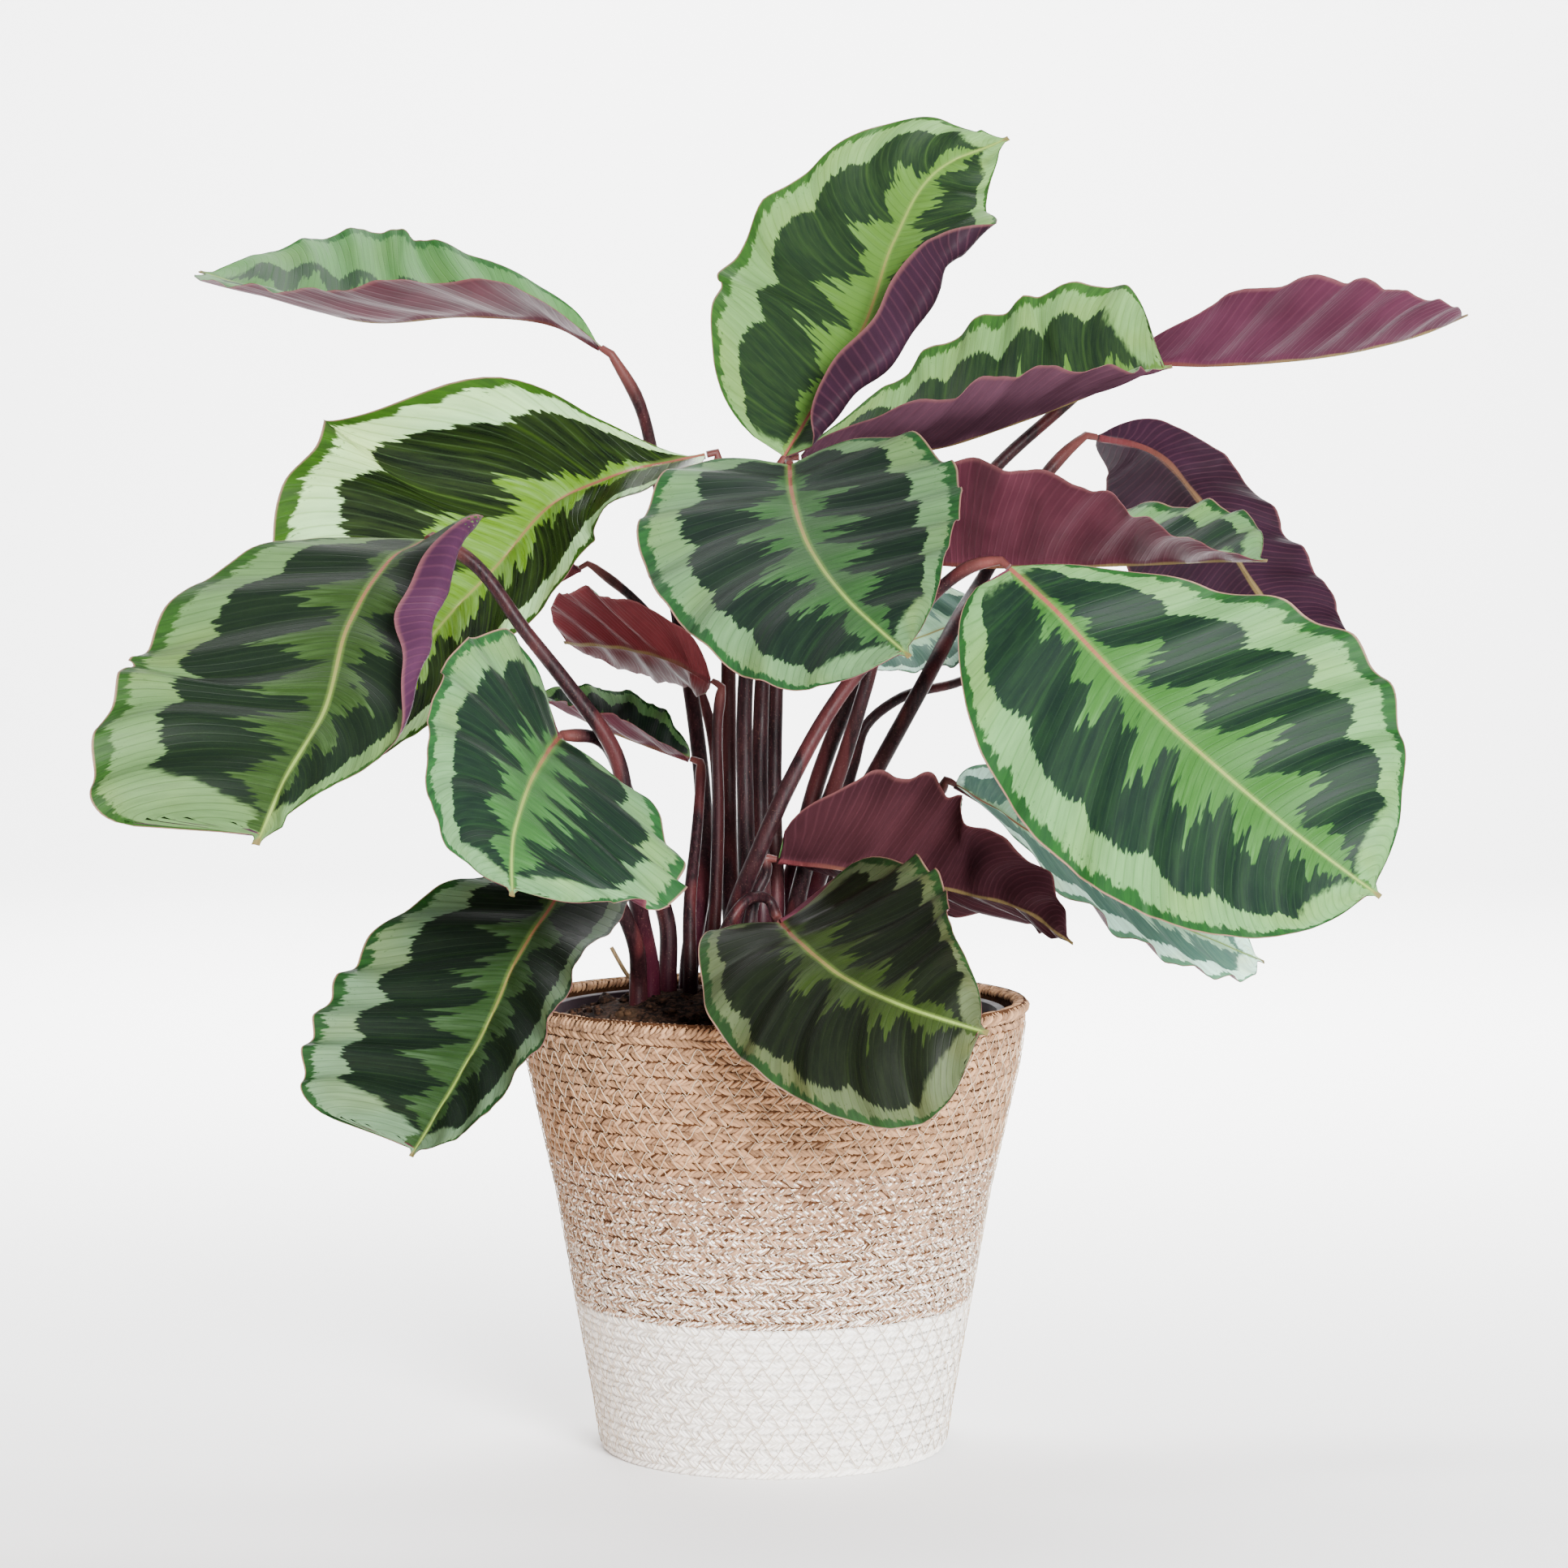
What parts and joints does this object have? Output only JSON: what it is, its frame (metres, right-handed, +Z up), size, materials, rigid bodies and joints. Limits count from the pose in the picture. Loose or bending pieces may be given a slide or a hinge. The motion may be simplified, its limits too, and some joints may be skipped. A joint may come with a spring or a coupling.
{
  "type": "potted calathea",
  "caption": "Broad patterned leaves on long stalks, growing in soil in a nursery pot that stands inside a round braided basket in three colour bands.",
  "frame": {"origin": "centre of the basket's foot, on the surface that it stands on", "axes": "+Z up along the basket's axis, +Y away from the side that the picture shows, +X to the right of that view"},
  "size_m": [0.5826, 0.3815, 0.5814],
  "materials": {
    "jute_white": "braided and sewn, matte",
    "jute_mixed": "braided and sewn, white and natural strands mixed, matte",
    "jute_natural": "braided and sewn, matte",
    "pot_plastic": "satin",
    "potting_soil": "crumbly, matte",
    "leaf_green": "satin above with a dark and pale pattern, purple below",
    "stalk_purple": "satin",
    "dry_stalk_straw": "dry, matte"
  },
  "bodies": {
    "root": {"basket_lower_white": "jute_white", "basket_middle_mixed": "jute_mixed", "basket_upper_natural": "jute_natural", "dry_stalk": "dry_stalk_straw", "leaf_back_red_blade": "leaf_green", "leaf_back_red_petiole": "stalk_purple", "leaf_back_right_blade": "leaf_green", "leaf_back_right_petiole": "stalk_purple", "leaf_behind_left_blade": "leaf_green", "leaf_behind_left_petiole": "stalk_purple", "leaf_centre_blade": "leaf_green", "leaf_centre_petiole": "stalk_purple", "leaf_far_left_blade": "leaf_green", "leaf_far_left_petiole": "stalk_purple", "leaf_far_right_blade": "leaf_green", "leaf_far_right_petiole": "stalk_purple", "leaf_left_blade": "leaf_green", "leaf_left_petiole": "stalk_purple", "leaf_low_back_blade": "leaf_green", "leaf_low_back_petiole": "stalk_purple", "leaf_low_purple_blade": "leaf_green", "leaf_low_purple_petiole": "stalk_purple", "leaf_lower_left_blade": "leaf_green", "leaf_lower_left_petiole": "stalk_purple", "leaf_lower_right_blade": "leaf_green", "leaf_lower_right_petiole": "stalk_purple", "leaf_mid_right_blade": "leaf_green", "leaf_mid_right_petiole": "stalk_purple", "leaf_right_blade": "leaf_green", "leaf_right_petiole": "stalk_purple", "leaf_rolled_blade": "leaf_green", "leaf_rolled_petiole": "stalk_purple", "leaf_striped_blade": "leaf_green", "leaf_striped_petiole": "stalk_purple", "leaf_tongue_blade": "leaf_green", "leaf_tongue_petiole": "stalk_purple", "leaf_top_blade": "leaf_green", "leaf_top_petiole": "stalk_purple", "leaf_upper_left_blade": "leaf_green", "leaf_upper_left_petiole": "stalk_purple", "leaf_upper_right_blade": "leaf_green", "leaf_upper_right_petiole": "stalk_purple", "nursery_pot": "pot_plastic", "soil": "potting_soil"}
  },
  "joints": []
}
